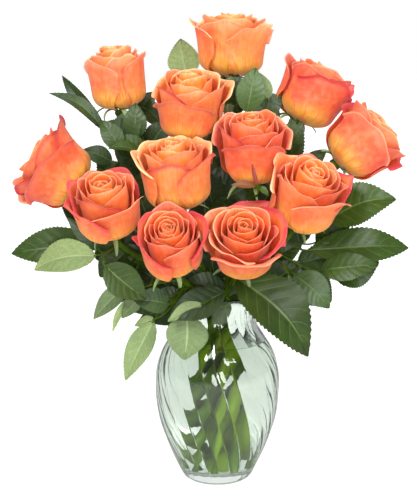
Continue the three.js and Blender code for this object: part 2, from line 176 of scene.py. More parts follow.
# Each leaf: the stem it grows on, base and tip of its blade in plan and above the mouth of the vase
# in millimetres, its width, the way its upper face looks, and how light its green is, where past 1
# it goes to the red-brown of a dry blade. The darkest greens, on leaves deep among the roses, are
# partly the leaves' own colour and partly painted shade
FRONT = (0, -1, 0.4)
BACK = (0, 1, 0.3)
UP = (0, -0.5, 1)
REAR = (0, 0.6, 1)
LEAVES = [
    ("a", (-113, 32, 160), (-152, 46, 205), 14, (-0.7, -0.4, 0.6), 0.1),
    ("a", (-108, 6, 156), (-158, 4, 193), 16, (-0.4, -0.5, 0.8), 0.15),
    ("a", (-92, -6, 138), (-111, -4, 166), 21, FRONT, 0.3),
    ("a", (-80, 6, 146), (-78, 8, 181), 23, FRONT, 0.3),
    ("a", (-70, -10, 134), (-102, -20, 142), 18, UP, 0.35),
    ("c", (-53, 36, 157), (-78, 44, 184), 20, FRONT, 0.15),
    ("b", (-29, 58, 203), (-36, 64, 240), 32, BACK, 1.0),
    ("b", (9, 24, 168), (13, 20, 206), 17, BACK, 0.3),
    ("b", (28, 10, 172), (36, 14, 214), 28, FRONT, 0.8),
    ("d", (48, 14, 184), (40, 20, 209), 17, BACK, 0.5),
    ("d", (70, -2, 133), (69, -6, 168), 18, FRONT, 0.2),
    ("e", (104, -30, 74), (164, -40, 98), 44, (-0.2, -0.9, 0.7), 0.45),
    ("e", (88, -20, 44), (185, 0, 46), 38, (0, -0.9, 0.7), 0.5),
    ("l", (97, -28, 26), (150, -40, 34), 27, FRONT, 0.45),
    ("l", (72, -40, 24), (104, -54, -4), 32, FRONT, 0.5),
    ("k", (18, -60, 24), (86, -74, -44), 54, (0.3, -1, 0.4), 0.2),
    ("k", (6, -52, 10), (-46, -62, -12), 30, FRONT, 0.0),
    ("j", (-29, -60, -10), (-31, -70, -50), 40, BACK, 0.4),
    ("j", (-60, -51, -18), (-87, -56, -72), 25, BACK, 0.5),
    ("j", (-46, -50, -2), (-78, -60, 4), 24, FRONT, 0.3),
    ("i", (-68, -52, 9), (-90, -64, -12), 16, BACK, 0.4),
    ("i", (-84, -44, 16), (-116, -50, -16), 20, BACK, 0.4),
    ("i", (-104, -58, 36), (-66, -66, 6), 31, FRONT, 0.4),
    ("i", (-114, -38, 42), (-171, -50, 33), 34, BACK, 0.75),
    ("h", (-121, -12, 53), (-197, -14, 41), 34, FRONT, 0.4),
    ("h", (-112, -30, 46), (-141, -28, 76), 15, (-0.6, -0.6, 0.5), 0.2),
    ("g", (-68, -24, 48), (-68, -22, 76), 18, FRONT, 0.2),
    ("b", (30, 62, 50), (58, 112, 38), 36, REAR, 0.4),
    ("b", (-8, 64, 36), (-24, 112, 8), 36, REAR, 0.5),
    ("a", (-60, 50, 64), (-96, 92, 58), 34, REAR, 0.35),
    ("d", (76, 46, 70), (124, 78, 76), 34, REAR, 0.45),
    ("h", (-100, 26, 60), (-146, 52, 52), 30, REAR, 0.4),
    ("c", (-10, 52, 120), (-4, 92, 146), 32, REAR, 0.5),
    ("d", (44, 56, 116), (58, 96, 130), 30, REAR, 0.4),
]

# The smaller leaves that close the gaps between the roses, in the same way. Their places were worked
# out by a program, which wrote these rows
# Their darkest greens are partly the leaves' own colour and partly painted shade in the gaps between the
# roses
FILLERS = [
    ("c", (-75, 30, 171), (-59, 26, 191), 16, FRONT, 0.1),
    ("c", (-65, 12, 140), (-47, 8, 165), 22, FRONT, 0.15),
    ("g", (-68, 2, 131), (-99, -2, 149), 24, FRONT, 0.3),
    ("i", (-101, 14, 124), (-130, 10, 136), 18, FRONT, 0.1),
    ("b", (20, 32, 169), (15, 28, 211), 28, FRONT, 0.05),
    ("d", (39, 22, 170), (64, 18, 186), 24, FRONT, 0.2),
    ("f", (58, 12, 109), (79, 8, 167), 36, FRONT, 0.2),
    ("l", (64, 16, 118), (75, 12, 151), 22, FRONT, 0.1),
    ("c", (-6, 6, 125), (-3, 2, 158), 16, FRONT, 0.15),
    ("e", (82, 0, 120), (103, -4, 138), 16, FRONT, 0.1),
    ("g", (-5, 2, 84), (-8, -2, 137), 26, FRONT, 0.05),
    ("k", (4, -4, 88), (44, -8, 108), 26, FRONT, 0.05),
    ("l", (43, 2, 83), (60, -2, 120), 28, FRONT, 0.1),
    ("h", (-117, 4, 52), (-149, 0, 85), 24, FRONT, 0.15),
    ("i", (-112, 12, 41), (-140, 8, 67), 24, FRONT, 0.25),
    ("i", (-72, -10, 27), (-102, -14, 43), 28, FRONT, 0.1),
    ("j", (-62, -20, 4), (-95, -24, 3), 24, FRONT, 0.15),
    ("j", (-44, -10, 6), (-74, -14, 24), 26, FRONT, 0.05),
    ("j", (8, -22, 4), (-32, -26, 15), 26, FRONT, 0.05),
    ("k", (10, -22, -1), (44, -26, 16), 28, FRONT, 0.1),
    ("j", (-11, -12, -8), (-17, -16, 22), 22, FRONT, 0.1),
    ("l", (42, -22, 8), (80, -26, 34), 28, FRONT, 0.1),
    ("l", (46, -16, 30), (80, -20, 51), 26, FRONT, 0.1),
    ("l", (77, -14, 30), (130, -18, 38), 28, FRONT, 0.3),
    ("e", (112, 2, 15), (155, -2, 30), 38, FRONT, 0.3),
    ("e", (77, -4, 16), (110, -8, -8), 38, FRONT, 0.3),
    ("l", (65, -58, 28), (82, -62, -16), 8, FRONT, 0.7),
    ("k", (-14, -66, 2), (-46, -70, -14), 13, BACK, 0.6),
    ("j", (-59, -50, -16), (-78, -54, -21), 11, BACK, 0.7),
    ("j", (-83, -52, 4), (-98, -56, -26), 7, BACK, 0.9),
    ("i", (-87, -18, 42), (-112, -22, 19), 28, FRONT, 0.2),
    ("j", (-72, -14, -5), (-104, -18, 18), 26, FRONT, 0.15),
    ("j", (-52, -34, -1), (-84, -38, -9), 22, FRONT, 0.3),
    ("j", (-32, -30, -4), (-64, -34, -1), 26, FRONT, 0.12),
    ("l", (48, -26, -5), (78, -30, 13), 26, FRONT, 0.1),
    ("e", (81, -8, 42), (100, -12, 8), 28, FRONT, 0.2),
    ("l", (54, -8, 9), (59, -12, 47), 26, FRONT, 0.05),
    ("e", (95, 8, 47), (127, 4, 64), 28, FRONT, 0.15),
    ("e", (83, 8, 59), (112, 4, 85), 28, FRONT, 0.2),
    ("f", (16, 0, 97), (-13, -4, 121), 26, FRONT, 0.05),
    ("l", (43, 12, 88), (63, 8, 146), 32, FRONT, 0.15),
    ("d", (52, 18, 153), (35, 14, 186), 26, FRONT, 0.3),
    ("a", (-85, 8, 144), (-110, 4, 162), 28, FRONT, 0.25),
    ("a", (-93, 12, 144), (-78, 8, 176), 28, FRONT, 0.15),
    ("i", (-95, 10, 125), (-72, 6, 146), 26, FRONT, 0.2),
    ("g", (-63, 14, 56), (-78, 10, 102), 34, FRONT, 0.1),
    ("g", (-11, 14, 56), (-13, 10, 100), 32, FRONT, 0.05),
    ("k", (-1, 10, 6), (-5, 6, 52), 30, FRONT, 0.05),
    ("c", (6, 16, 105), (0, 12, 140), 28, FRONT, 0.1),
    ("i", (-63, 6, 16), (-78, 2, 50), 30, FRONT, 0.1),
    ("d", (47, 24, 86), (51, 20, 135), 32, FRONT, 0.1),
    ("h", (-92, 18, 97), (-115, 14, 126), 30, FRONT, 0.15),
    ("e", (80, 16, 43), (70, 12, 83), 30, FRONT, 0.1),
    ("c", (-56, 26, 120), (-75, 22, 154), 32, FRONT, 0.15),
    ("k", (33, -6, -7), (70, -10, -6), 30, FRONT, 0.1),
    ("j", (-26, -12, -12), (-74, -16, -22), 26, FRONT, 0.2),
    ("g", (-65, 12, 90), (-80, 8, 121), 30, FRONT, 0.1),
    ("i", (-69, 10, 37), (-88, 6, 69), 30, FRONT, 0.1),
    ("i", (-63, 6, -1), (-80, 2, 27), 30, FRONT, 0.1),
    ("j", (-25, 0, -6), (-51, -4, 14), 28, FRONT, 0.05),
    ("f", (35, -62, 111), (12, -66, 112), 7, FRONT, 1.6),
    ("f", (36, -64, 111), (31, -68, 131), 4, FRONT, 2.0),
    ("f", (38, -60, 110), (46, -64, 102), 6, FRONT, 0.8),
    ("i", (-92, 10, 35), (-115, 6, 55), 30, FRONT, 0.1),
    ("i", (-104, 4, 28), (-109, 0, 53), 24, FRONT, 0.15),
    ("g", (-74, 8, 115), (-93, 4, 139), 26, FRONT, 0.1),
    ("j", (-20, -10, 6), (-27, -14, 32), 28, FRONT, 0.05),
    ("k", (10, 0, 72), (2, -4, 96), 26, FRONT, 0.05),
]


def linear(red, green, blue):
    """A display colour, 0 to 255, as the scene-linear colour that sockets take."""
    shares = (value / 255 for value in (red, green, blue))
    return tuple(((c + 0.055) / 1.055) ** 2.4 if c > 10 / 255 else c / 12.92 for c in shares)


# Colours that the finishes go to in places
REDDEST_INSIDE = linear(255, 106, 10)
REDDEST_OUTSIDE = linear(230, 90, 52)
PETAL_GLOW = linear(255, 146, 40)
PETAL_GLOW_RED = linear(255, 90, 24)
PETAL_VEIN_SHADE = (0.86, 0.55, 0.45)
LEAF_BLOOM_DARK = linear(40, 58, 44)
LEAF_BLOOM_LIGHT = linear(104, 128, 96)
LEAF_DRY = linear(150, 50, 50)
LEAF_VEIN_UNDER = linear(176, 196, 140)
LEAF_VEIN_UPPER = linear(140, 164, 98)
LEAF_GLOW = linear(150, 190, 60)
STEM_STREAK = linear(76, 100, 8)
STEM_FRESH_AND_LIT = linear(112, 134, 8)
STEM_FLECK = linear(84, 72, 38)
WATER_TINT = linear(243, 246, 241)
GLASS_BEND = 1.5
WATER_BEND = 1.333


class VaseSizes(bpy.types.PropertyGroup):
    """Sizes of the glass."""

    flutes: IntProperty(name="Flutes", description="How many flutes run round the glass", default=24, min=6)
    flute_depth: FloatProperty(
        name="Flute depth", description="How deep each flute is", default=0.6 * MM, unit="LENGTH"
    )
    groove_depth: FloatProperty(
        name="Groove depth",
        description="How much deeper the line between two flutes is",
        default=0.3 * MM,
        unit="LENGTH",
    )
    twist: FloatProperty(
        name="Twist",
        description="How far the flutes turn from foot to lip",
        default=math.radians(-60),
        subtype="ANGLE",
    )
    wall: FloatProperty(name="Wall", description="Thickness of the glass wall", default=3 * MM, unit="LENGTH")
    floor: FloatProperty(
        name="Floor", description="Thickness of the glass floor", default=10 * MM, unit="LENGTH"
    )


class FlowerSizes(bpy.types.PropertyGroup):
    """Sizes and counts of the petals."""

    heart_petals: IntProperty(
        name="Heart petals", description="Petals rolled into the heart", default=10, min=3
    )
    cup_petals: IntProperty(
        name="Cup petals", description="Petals standing round the heart", default=6, min=3
    )
    outer_petals: IntProperty(name="Outer petals", description="Petals that roll back", default=5, min=3)
    petal_thickness: FloatProperty(
        name="Petal thickness", description="Thickness of one petal", default=0.35 * MM, unit="LENGTH"
    )
    sepals: IntProperty(name="Sepals", description="Green sepals under each head", default=5, min=3)


class LeafSizes(bpy.types.PropertyGroup):
    """Sizes of the leaves."""

    thickness: FloatProperty(
        name="Leaf thickness", description="Thickness of a blade", default=0.5 * MM, unit="LENGTH"
    )
    teeth: IntProperty(name="Teeth", description="Saw teeth along one edge of a blade", default=21, min=4)
    veins: IntProperty(name="Veins", description="Side veins on each half of a blade", default=7, min=2)


def colour_property(name, description, default):
    return FloatVectorProperty(name=name, description=description, default=default, subtype="COLOR", size=3)


class Finishes(bpy.types.PropertyGroup):
    """Colours of the pieces."""

    petal_base: colour_property("Petal base", "Colour at the foot of a petal", linear(226, 178, 56))
    petal_body: colour_property("Petal body", "Colour of most of a petal", linear(238, 138, 68))
    petal_inner: colour_property("Petal inside", "Colour of the inner face of a petal", linear(255, 144, 16))
    petal_blush: colour_property("Petal blush", "Colour that flushes the redder petals", linear(226, 66, 62))
    # Pale colour of the upper petals and their rims, partly their own paler edge and partly painted
    # highlight; also the pale flecks
    petal_pale_and_highlight: colour_property("Petal rim", "Colour of the thin light rim of a petal", linear(255, 214, 160))
    petal_tip: colour_property("Petal tip", "Colour of the darkest rolled tips", linear(206, 36, 70))
    leaf_dark: colour_property("Leaf dark", "Upper face of the darkest leaves", linear(24, 38, 8))
    leaf_light: colour_property("Leaf light", "Upper face of the lightest leaves", linear(68, 96, 28))
    leaf_under_dark: colour_property(
        "Underside dark", "Lower face of the darkest leaves", linear(84, 102, 66)
    )
    leaf_under_light: colour_property(
        "Underside light", "Lower face of the lightest leaves", linear(146, 166, 106)
    )
    stem: colour_property("Stem", "Colour of the stems", linear(52, 74, 0))
    glass: colour_property("Glass", "Tint of the glass", linear(234, 241, 235))


def place(point):
    """A place in the bouquet, from millimetres in plan and above the mouth of the vase."""
    return Vector((point[0] * MM, point[1] * MM, MOUTH + point[2] * MM))


def on_ring(radius, degrees, height):
    turn = math.radians(degrees)
    return Vector((radius * math.cos(turn), radius * math.sin(turn), height))


def head_axis(rose):
    azimuth, angle = rose["lean"]
    return on_ring(math.sin(math.radians(angle)), azimuth, math.cos(math.radians(angle)))


def deselect():
    if bpy.context.object and bpy.context.object.mode != "OBJECT":
        bpy.ops.object.mode_set(mode="OBJECT")
    bpy.ops.object.select_all(action="DESELECT")


def make_active(obj):
    deselect()
    obj.select_set(True)
    bpy.context.view_layer.objects.active = obj


def apply_modifier(obj, kind, **settings):
    """Adds a modifier to a piece and applies it."""
    make_active(obj)
    modifier = obj.modifiers.new(kind.title(), kind)
    for key, value in settings.items():
        setattr(modifier, key, value)
    bpy.ops.object.modifier_apply(modifier=modifier.name)


def join(parts, name):
    """Joins the objects into one named piece."""
    deselect()
    for part in parts:
        part.select_set(True)
    bpy.context.view_layer.objects.active = parts[0]
    if len(parts) > 1:
        bpy.ops.object.join()
    joined = bpy.context.object
    joined.name = joined.data.name = name
    return joined


def smooth(obj, degrees=60):
    make_active(obj)
    bpy.ops.object.shade_smooth_by_angle(angle=math.radians(degrees))


def settle(obj, slot, *nodes):
    """Gives a finished piece its body and hides the solids it stands for; its slot is not used."""
    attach(obj, "root")
    if nodes:
        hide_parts(*nodes)
    return obj


def grid_blank(name, across, along):
    """A flat grid from -1 to 1, the blank that a petal or a leaf is shaped from."""
    deselect()
    bpy.ops.mesh.primitive_grid_add(x_subdivisions=across, y_subdivisions=along, size=2, calc_uvs=True)
    blank = bpy.context.object
    blank.name = name
    return blank


def grid_places(blank):
    """The (u, v) of each vertex of a blank: u from -1 to 1 across, v from 0 to 1 along."""
    flat = np.zeros(len(blank.data.vertices) * 3)
    blank.data.vertices.foreach_get("co", flat)
    places = flat.reshape(-1, 3)
    return places[:, 0].copy(), (places[:, 1] + 1) / 2


def shaped_copy(blank, points, **tones):
    """A copy of a blank with its own mesh, its vertices put at the points, with one value per tone."""
    made = blank.copy()
    made.data = blank.data.copy()
    bpy.context.scene.collection.objects.link(made)
    made.data.vertices.foreach_set("co", np.ascontiguousarray(points, dtype=np.float64).ravel())
    for key, value in tones.items():
        layer = made.data.attributes.new(key, "FLOAT", "POINT")
        layer.data.foreach_set("value", np.full(len(points), value, dtype=np.float32))
    made.data.update()
    return made


def dress(obj, *materials):
    """Gives a piece these finishes and no others."""
    obj.data.materials.clear()
    for material in materials:
        obj.data.materials.append(material)


# Materials


class Nodes:
    """A short way to write the nodes of a material or of the surroundings."""

    def __init__(self, owner):
        owner.use_nodes = True
        self.owner = owner
        self.tree = owner.node_tree
        self.tree.nodes.clear()

    def add(self, kind, inputs=None, **settings):
        node = self.tree.nodes.new(kind)
        for key, value in settings.items():
            setattr(node, key, value)
        for key, value in (inputs or {}).items():
            self.feed(node.inputs[key], value)
        return node

    def feed(self, socket, value):
        if isinstance(value, bpy.types.NodeSocket):
            self.tree.links.new(value, socket)
        elif isinstance(value, (tuple, list)) and len(value) == 3 and socket.type == "RGBA":
            socket.default_value = (*value, 1)
        else:
            socket.default_value = value

    def math(self, operation, first, second=0.0, third=0.0):
        return self.add("ShaderNodeMath", {0: first, 1: second, 2: third}, operation=operation).outputs[0]

    def times(self, first, second):
        return self.math("MULTIPLY", first, second)

    def mix(self, factor, first, second):
        """One colour going over to another."""
        node = self.add("ShaderNodeMix", data_type="RGBA", clamp_factor=True)
        factor_socket, colours = node.inputs[0], node.inputs[6:8]
        self.feed(factor_socket, factor)
        for socket, colour in zip(colours, (first, second)):
            self.feed(socket, colour)
        return node.outputs[2]

    def fit(self, value, low, high, to_low=0.0, to_high=1.0, easing="SMOOTHSTEP"):
        """The value, carried from one range to another and held inside it."""
        node = self.add("ShaderNodeMapRange", interpolation_type=easing, clamp=True)
        for index, number in enumerate((value, low, high, to_low, to_high)):
            self.feed(node.inputs[index], number)
        return node.outputs[0]

    def attribute(self, name):
        return self.add("ShaderNodeAttribute", attribute_name=name, attribute_type="GEOMETRY").outputs["Fac"]

    def uv(self):
        """The place across and along the piece, each from 0 to 1."""
        place_on_piece = self.add("ShaderNodeUVMap", uv_map="UVMap").outputs[0]
        split = self.add("ShaderNodeSeparateXYZ", {0: place_on_piece})
        return split.outputs[0], split.outputs[1]

    def from_midline(self, u):
        """How far across a piece, from 0 on its midline to 1 at its edges."""
        return self.math("ABSOLUTE", self.math("MULTIPLY_ADD", u, 2.0, -1.0))

    def noise(self, vector, scale, detail=3.0, roughness=0.5):
        inputs = {"Vector": vector, "Scale": scale, "Detail": detail, "Roughness": roughness}
        return self.add("ShaderNodeTexNoise", inputs).outputs[0]

    def drawn_out(self, where, across, along):
        """Places squeezed along Z, so that a noise on them runs up the stems."""
        return self.add("ShaderNodeMapping", {"Vector": where, "Scale": (across, across, along)}).outputs[0]

    def streaks(self, u, v, seed, across, along, shift):
        """A noise that follows the surface and differs from piece to piece."""
        run = self.math("MULTIPLY_ADD", u, across, self.times(seed, shift))
        place_on_piece = self.add("ShaderNodeCombineXYZ", {0: run, 1: self.times(v, along)}).outputs[0]
        return self.noise(place_on_piece, 1.0, 2.0)

    def wander(self, value, noise, amount):
        """The value, pushed up and down by a noise, so that borders at it aren't straight."""
        return self.math("ADD", value, self.math("MULTIPLY_ADD", noise, amount, -amount / 2))

    def object_place(self):
        return self.add("ShaderNodeTexCoord").outputs["Object"]

    def bump(self, height, strength, distance):
        inputs = {"Height": height, "Strength": strength, "Distance": distance}
        return self.add("ShaderNodeBump", inputs).outputs[0]

    def dimmed_in_reflections(self, strength, dimming):
        """A strength that is lower for light that has been reflected on its way."""
        reflected = self.math("MINIMUM", self.add("ShaderNodeLightPath").outputs["Glossy Depth"], 1.0)
        return self.times(strength, self.math("MULTIPLY_ADD", reflected, -dimming, 1.0))

    def lit_through(self, shader, colour, bump, share):
        """A shader that also lets a share of the light through from behind."""
        glow = self.add("ShaderNodeBsdfTranslucent", {"Color": colour, "Normal": bump}).outputs[0]
        return self.add("ShaderNodeMixShader", {0: share, 1: shader, 2: glow}).outputs[0]

    def surface(self, shader):
        self.feed(self.add("ShaderNodeOutputMaterial").inputs["Surface"], shader)
        return self.owner


def petal_material(name, inside):
    """Velvety petal: golden foot, orange body, blush by petal, fine veins, paler towards the top and a thin
    pale rim, partly its own paler edge and partly painted highlight.
    """
    finish = bpy.context.scene.bouquet_finishes
    golden, blush = tuple(finish.petal_base), tuple(finish.petal_blush)
    light, crimson = tuple(finish.petal_pale_and_highlight), tuple(finish.petal_tip)
    inner = tuple(finish.petal_inner)
    body = inner if inside else tuple(finish.petal_body)
    n = Nodes(bpy.data.materials.new(name))
    u, v = n.uv()
    seed, hue, outer = n.attribute("seed"), n.attribute("hue"), n.attribute("outer")
    across = n.from_midline(u)
    patches = n.streaks(u, v, seed, 2.5, 3.0, 53.0)
    flow = n.streaks(u, v, seed, 5.0, 1.4, 37.0)
    vein = n.streaks(u, v, seed, 54.0, 2.5, 91.0)
    mottle = n.noise(n.object_place(), 160.0, 4.0)

    foot_low, foot_high = (0.0, 0.2) if inside else (0.12, 0.5)
    foot = n.fit(n.wander(v, flow, 0.3), foot_low, foot_high)
    body_colour = n.mix(hue, inner, REDDEST_INSIDE)
    if not inside:
        body_colour = n.mix(outer, body_colour, n.mix(hue, body, REDDEST_OUTSIDE))
    colour = n.mix(foot, golden, body_colour)
    colour = n.mix(n.fit(patches, 0.5, 0.72, 0.0, 0.4), colour, blush)
    colour = n.mix(n.fit(patches, 0.48, 0.3, 0.0, 0.12), colour, golden)
    flush = n.fit(n.math("MULTIPLY_ADD", across, 0.25, v), 0.35, 1.05, 0.0, 0.85)
    colour = n.mix(n.times(flush, n.attribute("blush")), colour, blush)
    # Paler towards the top of the petal: partly its own paler edge, partly painted highlight on the parts
    # that catch the light
    fade = n.fit(n.wander(v, flow, 0.2), 0.68, 1.03, 0.0, 0.8)
    colour = n.mix(n.times(fade, n.math("MULTIPLY_ADD", hue, -0.55, 1.0)), colour, light)
    vein_colour = tuple(c * shade for c, shade in zip(body, PETAL_VEIN_SHADE))
    colour = n.mix(n.fit(vein, 0.42, 0.66, 0.0, 0.42), colour, vein_colour)
    if not inside:
        streak = n.times(n.fit(vein, 0.5, 0.68, 0.0, 0.45), n.fit(v, 0.75, 0.3))
        colour = n.mix(n.times(streak, outer), colour, blush)
    colour = n.mix(n.fit(mottle, 0.35, 0.75, 0.0, 0.18), colour, light)
    # A thin pale line along the rim: painted highlight where the edge catches the light, partly the petal's
    # own paler edge
    to_rim = n.math("MULTIPLY_ADD", outer, 0.025, n.math("MULTIPLY_ADD", across, 0.03, v))
    colour = n.mix(n.fit(to_rim, 0.955, 1.015, 0.0, 0.8), colour, light)
    to_tip = n.math("MULTIPLY_ADD", across, 0.1, n.wander(v, flow, 0.24))
    colour = n.mix(n.times(n.fit(to_tip, 0.76, 0.99, 0.0, 0.9), n.attribute("crimson")), colour, crimson)

    bump = n.bump(n.math("MULTIPLY_ADD", mottle, 0.8, vein), 0.5, 0.6 * MM)
    velvet = {
        "Base Color": colour,
        "Roughness": 0.5,
        "Subsurface Weight": 0.2,
        "Subsurface Scale": 3 * MM,
        "Subsurface Radius": (1.0, 0.4, 0.2),
        "Sheen Weight": 0.1,
        "Sheen Roughness": 0.5,
        "Specular IOR Level": 0.3,
        "Normal": bump,
    }
    shader = n.add("ShaderNodeBsdfPrincipled", velvet).outputs[0]
    warm = n.mix(0.6, colour, n.mix(hue, PETAL_GLOW, PETAL_GLOW_RED))
    return n.surface(n.lit_through(shader, warm, bump, 0.32))


def leaf_material(name, under):
    """Rose leaf: light midrib and side veins, mottled green, waxy above and matt below."""
    finish = bpy.context.scene.bouquet_finishes
    dark = tuple(finish.leaf_under_dark if under else finish.leaf_dark)
    light = tuple(finish.leaf_under_light if under else finish.leaf_light)
    vein_colour = LEAF_VEIN_UNDER if under else LEAF_VEIN_UPPER
    vein_share, vein_height = (0.4, 1.0) if under else (0.25, -1.0)
    roughness, gloss = (0.62, 0.3) if under else (0.42, 0.36)
    n = Nodes(bpy.data.materials.new(name))
    u, v = n.uv()
    tone, seed = n.attribute("tone"), n.attribute("seed")
    across = n.from_midline(u)
    patch = n.noise(n.object_place(), 45.0, 4.0, 0.6)
    cell = n.noise(n.object_place(), 420.0, 2.0)

    colour = n.mix(tone, dark, light)
    bloom = n.mix(tone, LEAF_BLOOM_DARK, LEAF_BLOOM_LIGHT)
    colour = n.mix(n.fit(seed, 0.45, 0.95, 0.0, 0.55), colour, bloom)
    colour = n.mix(n.fit(tone, 1.0, 2.0), colour, LEAF_DRY)
    colour = n.mix(n.fit(patch, 0.3, 0.75, 0.0, 0.35), colour, light)
    colour = n.mix(n.fit(cell, 0.35, 0.7, 0.0, 0.25), colour, tuple(c * 0.7 for c in dark))

    count = float(bpy.context.scene.bouquet_leaves.veins)
    sweep = n.times(n.math("POWER", across, 1.2), count * VEIN_SWEEP)
    run = n.math("SUBTRACT", n.times(v, count), sweep)
    line = n.math("ABSOLUTE", n.math("SUBTRACT", n.math("FRACT", run), 0.5))
    side = n.times(n.fit(line, 0.07, 0.0), n.fit(across, 1.0, 0.6))
    rib_width = n.math("MULTIPLY_ADD", v, -0.06, 0.09)
    rib = n.fit(n.math("DIVIDE", across, rib_width), 1.0, 0.3)
    vein = n.math("MAXIMUM", n.times(side, 0.6), rib)
    colour = n.mix(n.times(vein, vein_share), colour, vein_colour)

    height = n.math("MULTIPLY_ADD", vein, vein_height, n.times(cell, 0.3))
    bump = n.bump(height, 0.5, 0.4 * MM)
    wax = {"Base Color": colour, "Roughness": roughness, "Specular IOR Level": gloss, "Normal": bump}
    shader = n.add("ShaderNodeBsdfPrincipled", wax).outputs[0]
    return n.surface(n.lit_through(shader, n.mix(0.5, colour, LEAF_GLOW), bump, 0.18))


def stem_material():
    """Fresh stem: green with paler streaks along it and faint brown flecks; lighter patches low in the vase
    are partly fresher green and partly painted light, and leaving them out higher up paints the shade among
    the leaves.
    """
    stem = tuple(bpy.context.scene.bouquet_finishes.stem)
    n = Nodes(bpy.data.materials.new("fresh_stem"))
    where = n.object_place()
    height = n.add("ShaderNodeSeparateXYZ", {0: where}).outputs[2]
    streak = n.noise(n.drawn_out(where, 300.0, 18.0), 1.0, 2.0)
    shade = n.noise(n.drawn_out(where, 80.0, 6.0), 1.0, 1.0)
    patch = n.noise(where, 60.0, 3.0)
    fleck = n.noise(where, 500.0, 1.0)
    colour = n.mix(n.fit(streak, 0.35, 0.7, 0.0, 0.5), stem, STEM_STREAK)
    colour = n.mix(n.fit(patch, 0.4, 0.7, 0.0, 0.6), colour, tuple(c * 0.55 for c in stem))
    # Lighter green patches painted only low in the vase: partly fresher stems, partly painted light where the
    # stems are lit through the glass; higher up among the leaves the stems stay darker, which paints the
    # shade there
    in_the_vase = n.fit(height, 0.9 * MOUTH, 0.7 * MOUTH)
    colour = n.mix(n.times(n.fit(shade, 0.48, 0.62, 0.0, 0.6), in_the_vase), colour, STEM_FRESH_AND_LIT)
    colour = n.mix(n.fit(fleck, 0.62, 0.74, 0.0, 0.5), colour, STEM_FLECK)
    bump = n.bump(n.math("MULTIPLY_ADD", patch, 2.0, streak), 0.5, 0.5 * MM)
    skin = {"Base Color": colour, "Roughness": 0.6, "Specular IOR Level": 0.12, "Normal": bump}
    return n.surface(n.add("ShaderNodeBsdfPrincipled", skin).outputs[0])


def clear_material(name, tint, bend):
    """Clear glass or water that lets the lamps through to what is inside."""
    n = Nodes(bpy.data.materials.new(name))
    clear = {"Base Color": tint, "Roughness": 0.0, "IOR": bend, "Transmission Weight": 1.0}
    glass = n.add("ShaderNodeBsdfPrincipled", clear).outputs[0]
    through = n.add("ShaderNodeBsdfTransparent", {"Color": tint}).outputs[0]
    lamp = n.add("ShaderNodeLightPath").outputs["Is Shadow Ray"]
    return n.surface(n.add("ShaderNodeMixShader", {0: lamp, 1: glass, 2: through}).outputs[0])


# The vase and its water


def outline_radius(height):
    """Outer radius of the vase at a height, a smooth line through the outline."""
    levels = np.array([level for _, level in VASE_OUTLINE])
    radii = np.array([radius for radius, _ in VASE_OUTLINE])
    share = min(max(height / VASE_HEIGHT, 0.0), 1.0)
    slopes = np.gradient(radii, levels)
    i = min(int(np.searchsorted(levels, share, side="right")) - 1, len(levels) - 2)
    i = max(i, 0)
    step = levels[i + 1] - levels[i]
    t = (share - levels[i]) / step
    low, high = radii[i], radii[i + 1]
    curve = (
        (2 * t**3 - 3 * t**2 + 1) * low
        + (t**3 - 2 * t**2 + t) * step * slopes[i]
        + (-2 * t**3 + 3 * t**2) * high
        + (t**3 - t**2) * step * slopes[i + 1]
    )
    return float(curve) * BELLY_RADIUS


def spun(name, profile, steps):
    """A body of revolution: the profile (radius, height) is drawn in edit mode and spun round Z."""
    deselect()
    bpy.ops.mesh.primitive_plane_add(size=1)
    obj = bpy.context.object
    obj.name = name
    bpy.ops.object.mode_set(mode="EDIT")
    bpy.ops.mesh.select_all(action="SELECT")
    bpy.ops.mesh.merge(type="CENTER")
    start = profile[0]
    bpy.ops.transform.translate(value=(start[0], 0, start[1]))
    for (from_radius, from_height), (radius, height) in zip(profile, profile[1:]):
        bpy.ops.mesh.extrude_vertices_move(
            TRANSFORM_OT_translate={"value": (radius - from_radius, 0, height - from_height)}
        )
    bpy.ops.mesh.select_all(action="SELECT")
    bpy.ops.mesh.spin(steps=steps, angle=2 * math.pi, center=(0, 0, 0), axis=(0, 0, 1))
    bpy.ops.mesh.select_all(action="SELECT")
    bpy.ops.mesh.remove_doubles(threshold=0.01 * MM)
    bpy.ops.mesh.normals_make_consistent(inside=False)
    bpy.ops.object.mode_set(mode="OBJECT")
    return obj


def even_steps(low, high, count):
    """Evenly spaced values between two, both ends included."""
    return [low + (high - low) * i / count for i in range(count + 1)]


def fade_of_flutes(height):
    """How deep the flutes are at a height: none at the foot and the lip, full depth between them."""
    share = height / VASE_HEIGHT
    return min(1.0, max(0.0, 8 * share * (1 - share)))


def inner_radius(height, sizes):
    return outline_radius(height) - sizes.wall - sizes.flute_depth * fade_of_flutes(height)


def bowl_profile(edge, floor, turns):
    """The rounded corner between the wall and the floor inside the vase."""
    return [
        (edge * math.cos(turn) ** BOWL_ROUNDNESS, floor + BOWL_DEPTH * (1 - math.sin(turn))) for turn in turns
    ]


